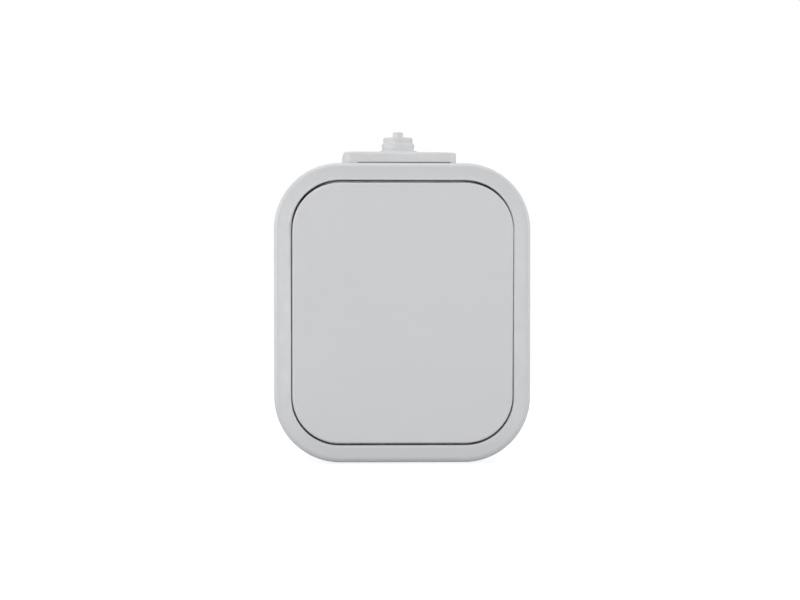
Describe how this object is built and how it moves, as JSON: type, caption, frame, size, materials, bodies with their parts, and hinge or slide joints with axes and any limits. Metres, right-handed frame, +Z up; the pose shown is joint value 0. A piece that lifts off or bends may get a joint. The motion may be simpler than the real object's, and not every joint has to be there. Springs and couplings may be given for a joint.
{
  "type": "outdoor light switch",
  "caption": "Surface-mounted outdoor light switch: a large rocker in a rounded frame on a deep weatherproof box, with a soft stepped cable entry on top.",
  "frame": {"origin": "middle of the flat back face, on the wall", "axes": "+Z up, front faces -Y, +Y into the wall, +X to the right seen from the front"},
  "size_m": [0.066, 0.0508, 0.0868],
  "materials": {
    "housing_plastic": "satin white moulded plastic",
    "rocker_plastic": "satin white moulded plastic",
    "soft_entry": "white soft elastomer",
    "dark_seal": "matt black elastomer",
    "steel": "zinc plated steel",
    "spring_steel": "drawn spring wire",
    "base_plastic": "grey thermoset moulding",
    "cover_plastic": "light grey moulding",
    "plunger_plastic": "natural acetal",
    "brass": "stamped brass",
    "contact_silver": "silver alloy"
  },
  "bodies": {
    "housing": {"rear_box": "housing_plastic", "front_frame": "housing_plastic", "cable_gland": "soft_entry", "frame_gasket": "dark_seal", "fixing_seals": "dark_seal", "frame_screw_seals": "dark_seal", "frame_screws": "steel", "post_boot": "dark_seal", "switch_base": "base_plastic", "switch_cover": "cover_plastic", "switch_screws": "steel", "common_terminal": "brass", "switched_terminal": "brass", "fixed_contact": "contact_silver", "terminal_clamps": "brass", "terminal_screws": "steel"},
    "rocker": {"rocker": "rocker_plastic", "plunger_spring": "spring_steel"},
    "plunger": {"plunger": "plunger_plastic"},
    "contact": {"contact_seesaw": "brass", "moving_contact": "contact_silver"}
  },
  "joints": [
    {"name": "rocker_pivot", "type": "hinge", "parent": "housing", "child": "rocker", "pos_m": [0, -0.0446, 0], "axis": [-1, 0, 0], "range_deg": [0, 6], "deforming": ["post_boot"]},
    {"name": "plunger_slide", "type": "slide", "parent": "rocker", "child": "plunger", "axis": [0, 0.9986, 0.0523], "range_m": [-0.0008, 0], "stiffness_N_per_m": 1900, "deforming": ["plunger_spring"]},
    {"name": "contact_flip", "type": "hinge", "parent": "housing", "child": "contact", "pos_m": [0, -0.0162, 0], "axis": [-1, 0, 0], "range_deg": [-18, 0]}
  ],
  "couplings": [
    {"joint": "contact_flip", "follows": "rocker_pivot", "ratio": -3}
  ]
}
